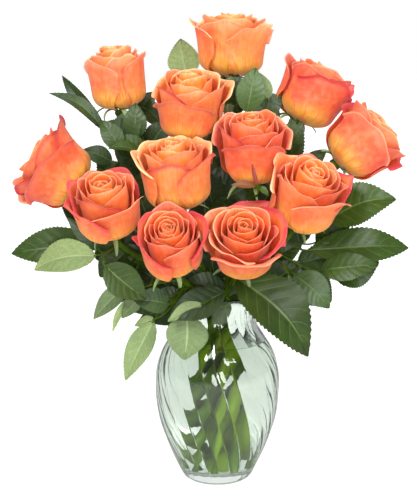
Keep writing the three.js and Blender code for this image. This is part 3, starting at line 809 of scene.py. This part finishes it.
class BOUQUET_OT_vase(bpy.types.Operator):
    """Spin the glass vase, round its lip and press the twisted flutes into its outside"""

    bl_idname = "bouquet.vase"
    bl_label = "Vase"

    def execute(self, context):
        sizes = context.scene.bouquet_vase
        outside = [(0, 0), (0.4 * BELLY_RADIUS, 0)]
        outside += [(outline_radius(z), z) for z in even_steps(0, VASE_HEIGHT - LIP, 58)]
        half_wall = sizes.wall / 2
        middle = outline_radius(VASE_HEIGHT) - half_wall
        rim = [
            (middle + half_wall * math.cos(turn), VASE_HEIGHT - LIP + LIP * math.sin(turn))
            for turn in even_steps(0, math.pi, 6)
        ]
        down = even_steps(VASE_HEIGHT - 4 * MM, sizes.floor + BOWL_DEPTH, 40)
        inside = [(inner_radius(z, sizes), z) for z in down]
        floor_edge = inside[-1][0]
        bowl = bowl_profile(floor_edge, sizes.floor, even_steps(BOWL_START, BOWL_END, 7))
        profile = outside + rim[1:] + inside + bowl + [(0, sizes.floor)]
        vase = spun("vase_glass", profile, sizes.flutes * 20)
        self.press_flutes(vase, sizes)
        smooth(vase, 50)
        dress(vase, clear_material("fluted_glass", tuple(context.scene.bouquet_finishes.glass), GLASS_BEND))
        settle(vase, "glass", "vase")
        return {"FINISHED"}

    def press_flutes(self, vase, sizes):
        for vertex in vase.data.vertices:
            x, y, z = vertex.co
            radius = math.hypot(x, y)
            on_inside = radius < outline_radius(z) - 0.3 * sizes.wall
            if on_inside or z < 0.5 * MM or z > VASE_HEIGHT - LIP - 0.1 * MM:
                continue
            turn = math.atan2(y, x) - sizes.twist * z / VASE_HEIGHT
            swing = math.cos(sizes.flutes * turn / 2)
            groove = sizes.groove_depth * math.exp(-((swing / 0.1) ** 2))
            depth = fade_of_flutes(z) * (sizes.flute_depth * (1 - abs(swing)) + groove)
            vertex.co.x *= (radius - depth) / radius
            vertex.co.y *= (radius - depth) / radius


class BOUQUET_OT_water(bpy.types.Operator):
    """Spin the water that fills the vase, with the rim that clings to the glass"""

    bl_idname = "bouquet.water"
    bl_label = "Water"

    def execute(self, context):
        sizes = context.scene.bouquet_vase
        level = WATER_HIGH.z
        cling = 1.6 * MM
        overlap = 0.15 * MM
        bottom = sizes.floor - overlap
        heights = even_steps(sizes.floor + BOWL_DEPTH, level + cling, 40)
        side = [(inner_radius(z, sizes) + overlap, z) for z in heights]
        bowl = bowl_profile(side[0][0], bottom, even_steps(BOWL_END, BOWL_START, 7))
        rim = side[-1][0]
        surface = [
            (rim - reach * MM, level + cling * (1 - reach / 4.5) ** 2.4) for reach in (1.0, 2.0, 3.2, 4.4)
        ]
        profile = [(0, bottom)] + bowl + side + surface + [(0, level)]
        water = spun("vase_water", profile, 96)
        smooth(water, 50)
        dress(water, clear_material("still_water", WATER_TINT, WATER_BEND))
        settle(water, "water", "water")
        return {"FINISHED"}


# Stems


def eased_points(start, handle, end_handle, end, count):
    """Points of a smooth curve from start to end, drawn towards its two handles."""
    points = []
    for t in even_steps(0, 1, count):
        s = 1 - t
        points.append(start * s**3 + handle * 3 * s * s * t + end_handle * 3 * s * t * t + end * t**3)
    return points


def stem_line(rose):
    """Points of the centre line of a stem, from its cut end up to the foot of its head."""
    outer = rose["ring"] == OUTER_STEMS
    waist_radius = STEM_PITCH / 2 / math.sin(math.pi / rose["ring"])
    lean = OUTER_LEAN if outer else INNER_LEAN
    turn = 10 + rose["place"] * 360 / rose["ring"]
    waist = on_ring(waist_radius, turn, WAIST_HEIGHT)
    foot = on_ring(waist_radius / math.cos(math.radians(lean)), turn - lean, STEM_FOOT_HEIGHT)
    axis = head_axis(rose)
    top = place(rose["foot"]) - axis * (CLEARANCE + 2 * MM)
    climb = (top - waist).length
    rising = (waist - foot).normalized()
    handle, end_handle = waist + rising * 0.35 * climb, top - axis * 0.3 * climb
    straight = [foot.lerp(waist, share) for share in even_steps(0, 1, 22)[:-1]]
    return straight + eased_points(waist, handle, end_handle, top, 26)


def tube(name, points, radii, sides=5):
    """A round tube along points: a poly curve with a radius at each point, made a mesh."""
    curve = bpy.data.curves.new(name, "CURVE")
    curve.dimensions = "3D"
    curve.bevel_depth = 1.0
    curve.bevel_resolution = sides
    curve.use_fill_caps = True
    spline = curve.splines.new("POLY")
    spline.points.add(len(points) - 1)
    for point, where, radius in zip(spline.points, points, radii):
        point.co = (*where, 1)
        point.radius = radius
    obj = bpy.data.objects.new(name, curve)
    bpy.context.scene.collection.objects.link(obj)
    make_active(obj)
    bpy.ops.object.convert(target="MESH")
    return bpy.context.object


def thorn(where, out, along, length):
    """One hooked thorn: a cone whose tip leans down the stem."""
    deselect()
    bpy.ops.mesh.primitive_cone_add(
        vertices=8, radius1=1.5 * MM, radius2=0.1 * MM, depth=length, location=(0, 0, 0)
    )
    cone = bpy.context.object
    cone.data.transform(out.to_track_quat("Z", "Y").to_matrix().to_4x4())
    for vertex in cone.data.vertices:
        reach = max(0.0, vertex.co.dot(out) / length + 0.5)
        vertex.co += where + out * (0.35 * length) - along * (0.5 * length * reach * reach)
    return cone


class BOUQUET_OT_stems(bpy.types.Operator):
    """Run each stem up through the vase, with its joints, thorns and the hip under its head"""

    bl_idname = "bouquet.stems"
    bl_label = "Stems"

    def execute(self, context):
        material = stem_material()
        for index, (letter, rose) in enumerate(ROSES.items()):
            draw = random.Random(100 + index)
            line = stem_line(rose)
            top = place(rose["foot"]) - head_axis(rose) * CLEARANCE
            joints = [draw.uniform(low, high) for low, high in ((4, 9), (13, 17), (24, 28), (33, 37))]
            thickness = draw.uniform(0.88, 1.02)
            radii = []
            for i, point in enumerate(line):
                swell = sum(0.16 * math.exp(-((i - joint) ** 2) / 0.9) for joint in joints)
                to_top = (top - point).length
                hip = 1.15 * math.exp(-((to_top / (6.5 * MM)) ** 2))
                radii.append(STEM_RADIUS * (thickness + swell + hip) * (1.0 if i else 0.97))
            line.append(top)
            radii.append(STEM_RADIUS * 1.75)
            parts = [tube("rose_" + letter + "_stem", line, radii)]
            for _ in range(THORNS):
                i = draw.randrange(2, len(line) - 8)
                along = (line[i + 1] - line[i]).normalized()
                front = along.orthogonal().normalized()
                side = along.cross(front)
                turn = draw.uniform(0, 2 * math.pi)
                out = (front * math.cos(turn) + side * math.sin(turn)).normalized()
                where = line[i] + out * radii[i] * 0.8
                parts.append(thorn(where, out, along, draw.uniform(2.6, 4.2) * MM))
            stem = join(parts, "rose_" + letter + "_stem")
            smooth(stem, 60)
            dress(stem, material)
            settle(stem, "stem", "rose_stem_" + letter)
        return {"FINISHED"}


# Rose heads


def blend_line(value, stops):
    """A value read off straight lines between (place, value) stops."""
    return np.interp(value, [at for at, _ in stops], [height for _, height in stops])


# Along the shells of a head, from 0 at the heart to 1 outside: how high a petal reaches, how far it
# opens above the belly, and how many degrees it wraps to each side
TOP_LINE = [(0.0, 0.9), (0.12, 0.97), (0.3, 1.0), (0.5, 0.985), (0.72, 0.9), (1.0, 0.76)]
OPEN_LINE = [(0.0, -0.32), (0.25, -0.16), (0.5, -0.02), (0.75, 0.05), (1.0, 0.07)]
WRAP_LINE = [(0.0, 150.0), (0.2, 110.0), (0.5, 78.0), (0.8, 64.0), (1.0, 60.0)]


def petal_points(u, v, rose, petal):
    """Places of a petal's vertices about the head's own axis.
    Petals are pieces of nested shells, numbered from 0 at the heart to 1 outside."""
    radius = rose["width"] * HEAD_DIAMETER / 2
    height = rose["height"] * HEAD_DIAMETER * 1.02
    bloom = rose["bloom"]
    curl_from = petal["curl_from"]
    shell = np.clip(petal["shell"] + petal["tilt"] * u, 0.0, 1.15)
    belly = radius * (0.07 + 0.77 * shell)
    point = petal["point"] * np.exp(-((u / 0.3) ** 2))
    top = height * blend_line(shell, TOP_LINE) * (petal["tall"] + point)
    low = height * 0.32 * (1 - np.clip(shell, 0, 1)) ** 2
    reach = 1 - petal["drop"] * np.abs(u) ** 2.6
    climb = np.minimum(v / curl_from, 1.0) * reach

    def at(share):
        foot_radius = np.minimum(belly * 0.5, 4.2 * MM)
        swell = np.sqrt(np.clip(1 - (1 - np.minimum(share / BELLY_LEVEL, 1.0)) ** 2, 0, 1))
        lean = np.clip((share - BELLY_LEVEL) / (1 - BELLY_LEVEL), 0, 1.2) ** 1.6
        opening = blend_line(shell, OPEN_LINE) + 0.1 * (bloom - 0.5) * np.clip(shell, 0, 1)
        opening += petal["lean"] + rose["wide"] * np.clip(1.8 * shell, 0, 1)
        return foot_radius + (belly - foot_radius) * swell + belly * opening * lean, low + (top - low) * share

    out, up = at(climb)
    out_before, up_before = at(climb - 0.02)
    slope = np.arctan2(up - up_before, out - out_before)
    rolled = np.clip((v - curl_from) / (1 - curl_from), 0, 1)
    roll_length = petal["roll_length"] * (1 + 0.35 * (1 - np.abs(u)) ** 2)
    roll_share = petal["roll_middle"] + (1 - petal["roll_middle"]) * np.abs(u) ** 1.3
    roll_angle = np.maximum(petal["roll"] * roll_share, 0.02)
    turned = slope - roll_angle * rolled
    out = out + roll_length / roll_angle * (np.sin(slope) - np.sin(turned))
    up = up + roll_length / roll_angle * (np.cos(turned) - np.cos(slope))
    depth, waves, phase = petal["ruffle"], petal["waves"], petal["phase"]
    ruffle = depth * v**3 * np.sin(waves * u + phase)
    ruffle += 0.4 * depth * v**6 * np.sin(3.1 * waves * u + 2 * phase)
    out = out + ruffle * np.abs(np.sin(slope))
    up = up + 0.9 * depth * v**5 * np.sin(1.7 * waves * u + 1.3 * phase)
    narrow = 0.5 + 0.5 * np.clip(v / 0.5, 0, 1) ** 0.8
    turn = np.radians(petal["turn"] + petal["wrap"] * u * narrow)
    return np.stack([out * np.cos(turn), out * np.sin(turn), up], 1)


def turned_to_head(points, rose):
    turn = Vector((0, 0, 1)).rotation_difference(head_axis(rose)).to_matrix()
    foot = place(rose["foot"])
    return points @ np.array(turn).T + np.array(foot)


def crimson_share(rose, turn):
    """How crimson the rim is on a side of the head, 1 at the crimson sides themselves."""
    away = [(turn - side + 180) % 360 - 180 for side in rose["crimson"]]
    return sum(math.exp(-((degrees / 50) ** 2)) for degrees in away)


def petal_plan(rose, draw, sizes):
    """The petals of one head, from the heart outwards."""
    groups = [
        ("heart", sizes.heart_petals, 0.01, 0.46),
        ("cup", sizes.cup_petals, 0.52, 0.76),
        ("outer", sizes.outer_petals, 0.82, 1.0),
    ]
    bloom = 0.6 + 0.5 * rose["bloom"]
    start = draw.uniform(0, 360)
    plan = []
    for group, count, low, high in groups:
        for i in range(count):
            turn = start + GOLDEN_ANGLE * len(plan) + draw.uniform(-9, 9)
            facing = math.cos(math.radians(turn - FRONT_SIDE))
            shell = low + (high - low) * i / max(count - 1, 1)
            outness = max(0.0, (shell - 0.45) / 0.55)
            outer = min(1.0, 1.4 * outness)
            crimson = crimson_share(rose, turn)
            shorter = outness * (rose["low"] * max(0.0, facing) + rose["high"] * max(0.0, -facing))
            plan.append(
                dict(
                    group=group,
                    shell=shell,
                    tilt=0.012 + 0.022 * shell,
                    turn=turn,
                    outer=outer,
                    crimson=min(1.0, 1.25 * crimson + 0.4 * rose["red"]) * outer,
                    point=0.08 * crimson * outness,
                    wrap=float(blend_line(shell, WRAP_LINE)) * draw.uniform(0.92, 1.06),
                    tall=draw.uniform(0.95, 1.04) - shorter,
                    drop=0.1 + 0.16 * outness + draw.uniform(0, 0.05),
                    lean=draw.uniform(-0.05, 0.05),
                    curl_from=0.87 - 0.11 * outness,
                    roll_length=(1.2 + 6.5 * outness * bloom) * MM,
                    roll=math.radians(22 + 82 * outness * draw.uniform(0.8, 1.15) * bloom),
                    roll_middle=0.75 - 0.35 * outness,
                    ruffle=(0.35 + 1.9 * outness) * MM * draw.uniform(0.6, 1.2),
                    waves=draw.uniform(3.5, 6.5),
                    phase=draw.uniform(0, 6.28),
                    blush=petal_blush(rose, outness, draw),
                    seed=draw.random(),
                )
            )
    return plan


def petal_blush(rose, outness, draw):
    """How flushed a petal is: more outside than inside, and a little by chance."""
    blush = rose["red"] * (0.5 + 0.7 * outness) + draw.uniform(-0.2, 0.25) * (0.4 + outness)
    return min(1.0, max(0.0, blush))


class BOUQUET_OT_heads(bpy.types.Operator):
    """Lay the petals of each head on nested shells, from the rolled heart to the rims that roll back"""

    bl_idname = "bouquet.heads"
    bl_label = "Rose heads"

    def execute(self, context):
        sizes = context.scene.bouquet_flowers
        blanks = {
            "heart": grid_blank("heart_blank", 18, 6),
            "cup": grid_blank("cup_blank", 16, 12),
            "outer": grid_blank("outer_blank", 16, 16),
        }
        places = {group: grid_places(blank) for group, blank in blanks.items()}
        materials = [petal_material("petal_outside", False), petal_material("petal_inside", True)]
        for index, (letter, rose) in enumerate(ROSES.items()):
            draw = random.Random(7 + index)
            made = {"heart": [], "cup": [], "outer": []}
            for petal in petal_plan(rose, draw, sizes):
                u, v = places[petal["group"]]
                if petal["group"] == "heart":
                    v = 0.3 + 0.7 * v
                points = turned_to_head(petal_points(u, v, rose, petal), rose)
                tones = {key: petal[key] for key in ("blush", "crimson", "outer", "seed")}
                made[petal["group"]].append(
                    shaped_copy(blanks[petal["group"]], points, hue=rose["hue"], **tones)
                )
            heart = join(made["heart"], "rose_" + letter + "_heart")
            cup = join(made["cup"], "rose_" + letter + "_cup_petals")
            outer = made["outer"]
            for number, petal in enumerate(outer, 1):
                petal.name = petal.data.name = "rose_{}_outer_petal_{}".format(letter, number)
            for piece in (heart, cup, *outer):
                self.finish_piece(piece, materials, sizes)
                settle(piece, "petals", "rose_head_" + letter)
        for blank in blanks.values():
            bpy.data.objects.remove(blank)
        return {"FINISHED"}

    def finish_piece(self, piece, materials, sizes):
        dress(piece, *materials)
        wall = dict(thickness=sizes.petal_thickness, offset=0.0, use_even_offset=False, material_offset=1)
        apply_modifier(piece, "SOLIDIFY", **wall)
        apply_modifier(piece, "SUBSURF", levels=1, render_levels=1)
        smooth(piece, 80)


class BOUQUET_OT_sepals(bpy.types.Operator):
    """Hang the pointed green sepals round the hip of each head"""

    bl_idname = "bouquet.sepals"
    bl_label = "Sepals"

    def execute(self, context):
        sizes = context.scene.bouquet_flowers
        blank = grid_blank("sepal_blank", 6, 14)
        u, v = grid_places(blank)
        materials = [leaf_material("sepal_face", False), leaf_material("sepal_back", True)]
        for index, (letter, rose) in enumerate(ROSES.items()):
            draw = random.Random(300 + index)
            made = []
            for number in range(sizes.sepals):
                length = draw.uniform(20, 30) * MM
                width = draw.uniform(2.6, 3.6) * MM
                droop = math.radians(draw.uniform(60, 160))
                lift = math.radians(draw.uniform(5, 40))
                slope = lift - droop * v**0.8
                out = 5.2 * MM + length * (np.sin(lift) - np.sin(lift - droop * v)) / droop
                up = -0.5 * MM + length * (np.cos(lift - droop * v) - math.cos(lift)) / droop
                half = width * (1 - v) ** 0.75 * (0.75 + 0.5 * v) + 0.25 * MM
                curl = 0.3 * half * u**2
                turn = math.radians(number * 360 / sizes.sepals + draw.uniform(-14, 14))
                sway = draw.uniform(-4, 4) * MM * v**2
                side = half * u + sway
                reach = out + curl * np.cos(slope + math.pi / 2)
                points = np.stack(
                    [
                        reach * math.cos(turn) - side * math.sin(turn),
                        reach * math.sin(turn) + side * math.cos(turn),
                        up + curl * np.sin(slope + math.pi / 2),
                    ],
                    1,
                )
                tones = {"tone": draw.uniform(0.5, 0.95), "seed": draw.random()}
                made.append(shaped_copy(blank, turned_to_head(points, rose), **tones))
            piece = join(made, "rose_" + letter + "_sepals")
            dress(piece, *materials)
            apply_modifier(piece, "SOLIDIFY", thickness=0.5 * MM, offset=0.0, material_offset=1)
            smooth(piece, 60)
            settle(piece, "leaf")
        bpy.data.objects.remove(blank)
        return {"FINISHED"}


# Leaves


def leaf_frame(base, tip, face):
    """Directions of a leaf: along it, across it and out of its upper face."""
    along = (tip - base).normalized()
    across = along.cross(Vector(face)).normalized()
    return along, across, across.cross(along).normalized()


def leaf_points(u, v, base, tip, width, face, draw, sizes):
    """Places of a blade's vertices: arched, folded along the midrib, quilted and saw-toothed."""
    along, across, upper = leaf_frame(base, tip, face)
    length = (tip - base).length
    outline = np.maximum(0.03, np.sin(np.pi * np.clip(v, 0, 1) ** 0.85) ** 0.8)
    tooth = (v * sizes.teeth) % 1.0
    saw = 0.1 * (tooth - 0.4) * np.clip(np.sin(np.pi * v) * 3, 0, 1)
    half = width / 2 * (outline + saw * (np.abs(u) > 0.999))
    arch = 0.1 * length * np.sin(np.pi * v)
    fold = (0.22 + draw.uniform(-0.08, 0.12)) * half * np.abs(u) ** 1.25
    run = v * sizes.veins - VEIN_SWEEP * sizes.veins * np.abs(u) ** 1.2
    between_rib_and_edge = np.clip(4 * np.abs(u) * (1.1 - np.abs(u)), 0, 1)
    quilt = 0.016 * width * np.abs(np.sin(np.pi * (run + 0.5))) * between_rib_and_edge
    groove = -0.012 * width * np.exp(-((u / 0.07) ** 2))
    wave_height = draw.uniform(0.3, 1.0) * 0.05 * width * np.abs(u) ** 2
    wave = wave_height * np.sin(draw.uniform(5, 9) * v + draw.uniform(0, 6))
    curl = -draw.uniform(0.0, 0.16) * length * np.clip(v - 0.6, 0, 1) ** 2 * 4
    twist = draw.uniform(-0.25, 0.25) * v
    side = half * u
    lift = arch + fold + quilt + groove + wave + curl
    bend = draw.uniform(-0.05, 0.05) * length * np.sin(np.pi * v)
    side_turned = side * np.cos(twist)
    lift_turned = lift + side * np.sin(twist)
    return (
        np.array(base)
        + np.outer(v * length, along)
        + np.outer(side_turned + bend, across)
        + np.outer(lift_turned, upper)
    )


def stalk_line(rose, base, along):
    """A leaf's stalk, from just inside its stem to the foot of the blade."""

    def way_off(point):
        return (point - base).length + 0.45 * abs(point.z - base.z + 14 * MM)

    start = min(stem_line(rose)[24:-3], key=way_off)
    reach = (base - start).length
    away = (base - start).normalized()
    handle, end_handle = start + away * 0.3 * reach, base - along * 0.3 * reach
    return eased_points(start, handle, end_handle, base, 14) + [base + along * 2 * MM]


class BOUQUET_OT_leaves(bpy.types.Operator):
    """Shape every leaf from a flat blade and join it to its stalk"""

    bl_idname = "bouquet.leaves"
    bl_label = "Leaves"

    def execute(self, context):
        sizes = context.scene.bouquet_leaves
        rows = 3 * sizes.teeth
        blank = grid_blank("leaf_blank", 14, rows)
        u, v = grid_places(blank)
        blade_materials = [leaf_material("leaf_upper", False), leaf_material("leaf_under", True)]
        stalk_material = stem_material()
        for number, (stem, base, tip, width, face, tone) in enumerate(LEAVES + FILLERS, 1):
            draw = random.Random(500 + number)
            base, tip = place(base), place(tip)
            points = leaf_points(u, v, base, tip, width * MM, face, draw, sizes)
            blade = shaped_copy(blank, points, tone=tone, seed=draw.random())
            dress(blade, *blade_materials, stalk_material)
            apply_modifier(blade, "SOLIDIFY", thickness=sizes.thickness, offset=-1.0, material_offset=1)
            line = stalk_line(ROSES[stem], base, (tip - base).normalized())
            radii = [0.95 * MM * (1.15 - 0.35 * i / len(line)) for i in range(len(line))]
            stalk = tube("stalk", line, radii, 3)
            dress(stalk, stalk_material)
            name = "leaf_{:02d}".format(number)
            leaf = join([blade, stalk], name + "_blade")
            smooth(leaf, 60)
            settle(leaf, "leaf", *([name] if number <= len(LEAVES) else []))
        bpy.data.objects.remove(blank)
        return {"FINISHED"}


# The stage


class BOUQUET_OT_stage(bpy.types.Operator):
    """Lay the pale floor and set the camera, the soft lamps and the white surroundings"""

    bl_idname = "bouquet.stage"
    bl_label = "Stage"

    def execute(self, context):
        scene = context.scene
        self.floor()
        self.camera(scene)
        self.surroundings(scene)
        for name, where, size, power in LAMPS:
            self.lamp(name, Vector(where), size, power)
        scene.view_settings.view_transform = "Standard"
        return {"FINISHED"}

    def floor(self):
        deselect()
        bpy.ops.mesh.primitive_plane_add(size=14, location=(0, 0, 0))
        floor = bpy.context.object
        floor.name = "floor"
        n = Nodes(bpy.data.materials.new("glowing_floor"))
        distance = n.add("ShaderNodeVectorMath", {0: n.object_place()}, operation="LENGTH").outputs["Value"]
        # The floor glows with its own white light, less near the vase and more further off: painted light
        # that lifts the shadows on the floor and keeps its far part as white as the surroundings
        glow = n.dimmed_in_reflections(n.fit(distance, 0.2, 1.2, 0.58, 0.97), FLOOR_DIMMING)
        pale = {
            "Base Color": (0.5, 0.5, 0.5),
            "Roughness": 0.8,
            "Specular IOR Level": 0.0,
            "Emission Color": (1.0, 1.0, 1.0),
            "Emission Strength": glow,
        }
        dress(floor, n.surface(n.add("ShaderNodeBsdfPrincipled", pale).outputs[0]))

    def camera(self, scene):
        data = bpy.data.cameras.new("camera")
        data.lens = CAMERA_LENS
        data.sensor_width = CAMERA_SENSOR
        camera = bpy.data.objects.new("camera", data)
        scene.collection.objects.link(camera)
        camera.location = CAMERA_PLACE
        camera.rotation_mode = "QUATERNION"
        camera.rotation_quaternion = (Vector(CAMERA_TARGET) - camera.location).to_track_quat("-Z", "Y")
        scene.camera = camera

    def surroundings(self, scene):
        """White all round where the camera looks past the bouquet, and softer light from behind it."""
        world = bpy.data.worlds.new("studio")
        scene.world = world
        n = Nodes(world)
        way = n.add("ShaderNodeTexCoord").outputs["Generated"]
        to_back = n.add("ShaderNodeSeparateXYZ", {0: way}).outputs[1]
        light = n.fit(to_back, 0.1, 0.8, 0.4, 1.0, easing="LINEAR")
        light = n.dimmed_in_reflections(light, WORLD_DIMMING)
        light = n.math("MAXIMUM", light, n.add("ShaderNodeLightPath").outputs["Is Camera Ray"])
        white = {"Color": (1.0, 1.0, 1.0), "Strength": light}
        n.feed(n.add("ShaderNodeOutputWorld").inputs[0], n.add("ShaderNodeBackground", white).outputs[0])

    def lamp(self, name, where, size, power):
        data = bpy.data.lights.new(name, "AREA")
        data.shape = "DISK"
        data.size = size
        data.energy = power
        lamp = bpy.data.objects.new(name, data)
        bpy.context.scene.collection.objects.link(lamp)
        lamp.location = where
        lamp.rotation_mode = "QUATERNION"
        lamp.rotation_quaternion = (Vector(LAMP_TARGET) - where).to_track_quat("-Z", "Y")


class BOUQUET_PT_panel(bpy.types.Panel):
    """Lists the sizes, the colours and the steps of the bouquet"""

    bl_idname = "BOUQUET_PT_panel"
    bl_label = "Roses in a vase"
    bl_space_type = "VIEW_3D"
    bl_region_type = "UI"
    bl_category = "Bouquet"

    def draw(self, context):
        layout = self.layout
        for name in PROPERTY_GROUPS:
            group = getattr(context.scene, name)
            box = layout.box()
            for key in group.__annotations__:
                box.prop(group, key)
        for step in STEPS:
            layout.operator(step.bl_idname)


PROPERTY_GROUPS = {
    "bouquet_vase": VaseSizes,
    "bouquet_flowers": FlowerSizes,
    "bouquet_leaves": LeafSizes,
    "bouquet_finishes": Finishes,
}
STEPS = [
    BOUQUET_OT_stage,
    BOUQUET_OT_vase,
    BOUQUET_OT_water,
    BOUQUET_OT_stems,
    BOUQUET_OT_heads,
    BOUQUET_OT_sepals,
    BOUQUET_OT_leaves,
]
CLASSES = [*PROPERTY_GROUPS.values(), *STEPS, BOUQUET_PT_panel]


def register():
    for each in CLASSES:
        bpy.utils.register_class(each)
    for name, group in PROPERTY_GROUPS.items():
        setattr(bpy.types.Scene, name, PointerProperty(type=group))


def unregister():
    for name in PROPERTY_GROUPS:
        delattr(bpy.types.Scene, name)
    for each in reversed(CLASSES):
        bpy.utils.unregister_class(each)


def main():
    register()
    bpy.ops.bouquet.stage()
    bpy.ops.bouquet.vase()
    bpy.ops.bouquet.water()
    bpy.ops.bouquet.stems()
    bpy.ops.bouquet.heads()
    bpy.ops.bouquet.sepals()
    bpy.ops.bouquet.leaves()


if __name__ == "__main__":
    main()
